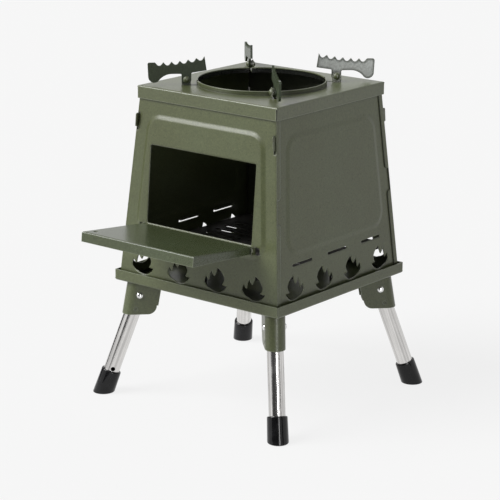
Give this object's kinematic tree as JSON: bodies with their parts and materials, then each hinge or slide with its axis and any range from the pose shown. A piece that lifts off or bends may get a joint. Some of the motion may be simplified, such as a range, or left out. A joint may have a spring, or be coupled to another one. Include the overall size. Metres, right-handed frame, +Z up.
{
  "type": "folding wood stove",
  "caption": "Square camp wood stove of green sheet steel on folding tube legs, with a let-down stoking door, flame vents and fold-in pot supports on a lid with a round opening.",
  "frame": {"origin": "on the ground, on the stove's upright middle line", "axes": "+Z up, the stoking door faces -Y, +X to the right of someone facing the door"},
  "size_m": [0.2742, 0.3449, 0.3826],
  "materials": {
    "green_paint": "satin olive powder coat",
    "bright_steel": "drawn stainless tube",
    "rivet_steel": "bright rivet",
    "black_rubber": "smooth black rubber"
  },
  "bodies": {
    "stove_body": {"base_tray": "green_paint", "front_wall": "green_paint", "back_wall": "green_paint", "left_wall": "green_paint", "right_wall": "green_paint", "fire_grate": "green_paint", "leg_bracket_front_left": "green_paint", "leg_bracket_front_right": "green_paint", "leg_bracket_back_right": "green_paint", "leg_bracket_back_left": "green_paint", "leg_pivot_rivets": "rivet_steel", "bracket_rivets": "rivet_steel", "door_hinge_pins": "green_paint"},
    "lid": {"lid_plate": "green_paint", "pot_support_rivets": "green_paint", "pot_support_washers": "green_paint"},
    "door": {"door_panel": "green_paint"},
    "support_front_left": {"pot_support_front_left": "green_paint"},
    "leg_front_left": {"leg_tube_front_left": "bright_steel", "leg_foot_front_left": "black_rubber"},
    "support_front_right": {"pot_support_front_right": "green_paint"},
    "leg_front_right": {"leg_tube_front_right": "bright_steel", "leg_foot_front_right": "black_rubber"},
    "support_back_right": {"pot_support_back_right": "green_paint"},
    "leg_back_right": {"leg_tube_back_right": "bright_steel", "leg_foot_back_right": "black_rubber"},
    "support_back_left": {"pot_support_back_left": "green_paint"},
    "leg_back_left": {"leg_tube_back_left": "bright_steel", "leg_foot_back_left": "black_rubber"}
  },
  "joints": [
    {"name": "lid_lift", "type": "slide", "parent": "stove_body", "child": "lid", "axis": [0, 0, 1], "range_m": [0, 0.06]},
    {"name": "door_fold", "type": "hinge", "parent": "stove_body", "child": "door", "pos_m": [0, -0.1118, 0.19888], "axis": [-1, 0, 0], "range_deg": [0, 88.5]},
    {"name": "support_front_left_fold", "type": "hinge", "parent": "lid", "child": "support_front_left", "pos_m": [-0.05869, -0.05869, 0.35749], "axis": [-0.7071, 0.7071, 0], "range_deg": [0, 172]},
    {"name": "leg_front_left_fold", "type": "hinge", "parent": "stove_body", "child": "leg_front_left", "pos_m": [-0.09605, -0.09605, 0.115], "axis": [0.7071, -0.7071, 0], "range_deg": [0, 109.7]},
    {"name": "support_front_right_fold", "type": "hinge", "parent": "lid", "child": "support_front_right", "pos_m": [0.05869, -0.05869, 0.35749], "axis": [-0.7071, -0.7071, 0], "range_deg": [0, 172]},
    {"name": "leg_front_right_fold", "type": "hinge", "parent": "stove_body", "child": "leg_front_right", "pos_m": [0.09605, -0.09605, 0.115], "axis": [0.7071, 0.7071, 0], "range_deg": [0, 109.7]},
    {"name": "support_back_right_fold", "type": "hinge", "parent": "lid", "child": "support_back_right", "pos_m": [0.05869, 0.05869, 0.35749], "axis": [0.7071, -0.7071, 0], "range_deg": [0, 172]},
    {"name": "leg_back_right_fold", "type": "hinge", "parent": "stove_body", "child": "leg_back_right", "pos_m": [0.09605, 0.09605, 0.115], "axis": [-0.7071, 0.7071, 0], "range_deg": [0, 109.7]},
    {"name": "support_back_left_fold", "type": "hinge", "parent": "lid", "child": "support_back_left", "pos_m": [-0.05869, 0.05869, 0.35749], "axis": [0.7071, 0.7071, 0], "range_deg": [0, 172]},
    {"name": "leg_back_left_fold", "type": "hinge", "parent": "stove_body", "child": "leg_back_left", "pos_m": [-0.09605, 0.09605, 0.115], "axis": [-0.7071, -0.7071, 0], "range_deg": [0, 109.7]}
  ]
}
